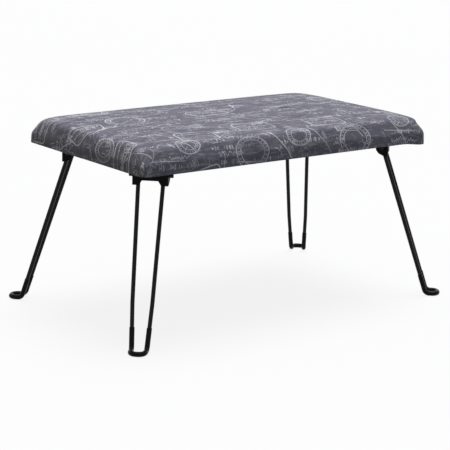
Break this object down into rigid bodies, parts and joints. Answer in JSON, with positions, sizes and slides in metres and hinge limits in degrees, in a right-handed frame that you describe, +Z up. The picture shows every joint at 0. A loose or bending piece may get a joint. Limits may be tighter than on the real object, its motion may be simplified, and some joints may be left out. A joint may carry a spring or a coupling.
{
  "type": "folding bench",
  "caption": "Folding bench with a padded rectangular seat on splayed hairpin legs that swing in flat under the seat from stamped corner brackets.",
  "frame": {"origin": "on the floor under the middle of the bench", "axes": "+X along the length to the right, +Y from the front to the back, +Z up"},
  "size_m": [0.8694, 0.5374, 0.432],
  "materials": {
    "board": "raw plywood",
    "foam": "open-cell upholstery foam",
    "cover": "printed woven cotton, matt",
    "lining": "black non-woven dust cover",
    "black_steel": "satin black powder coat on pressed steel",
    "black_screws": "black zinc screws",
    "black_rod": "satin black powder coat on steel rod",
    "black_sleeve": "soft black vinyl tube"
  },
  "bodies": {
    "seat": {"seat_board": "board", "foam_pad": "foam", "fabric_cover": "cover", "dust_cover": "lining", "bracket_front_left": "black_steel", "bracket_screws_front_left": "black_screws", "bracket_front_right": "black_steel", "bracket_screws_front_right": "black_screws", "bracket_back_left": "black_steel", "bracket_screws_back_left": "black_screws", "bracket_back_right": "black_steel", "bracket_screws_back_right": "black_screws"},
    "front_left_leg": {"leg_front_left": "black_rod", "foot_sleeve_front_left": "black_sleeve"},
    "front_right_leg": {"leg_front_right": "black_rod", "foot_sleeve_front_right": "black_sleeve"},
    "back_left_leg": {"leg_back_left": "black_rod", "foot_sleeve_back_left": "black_sleeve"},
    "back_right_leg": {"leg_back_right": "black_rod", "foot_sleeve_back_right": "black_sleeve"}
  },
  "joints": [
    {"name": "front_left_leg_fold", "type": "hinge", "parent": "seat", "child": "front_left_leg", "pos_m": [-0.3235, -0.1575, 0.351], "axis": [0.7071, -0.7071, 0], "range_deg": [0, 106.8]},
    {"name": "front_right_leg_fold", "type": "hinge", "parent": "seat", "child": "front_right_leg", "pos_m": [0.3235, -0.1575, 0.351], "axis": [0.7071, 0.7071, 0], "range_deg": [0, 106.8]},
    {"name": "back_left_leg_fold", "type": "hinge", "parent": "seat", "child": "back_left_leg", "pos_m": [-0.3235, 0.1575, 0.351], "axis": [-0.7071, -0.7071, 0], "range_deg": [0, 109.6]},
    {"name": "back_right_leg_fold", "type": "hinge", "parent": "seat", "child": "back_right_leg", "pos_m": [0.3235, 0.1575, 0.351], "axis": [-0.7071, 0.7071, 0], "range_deg": [0, 109.6]}
  ]
}
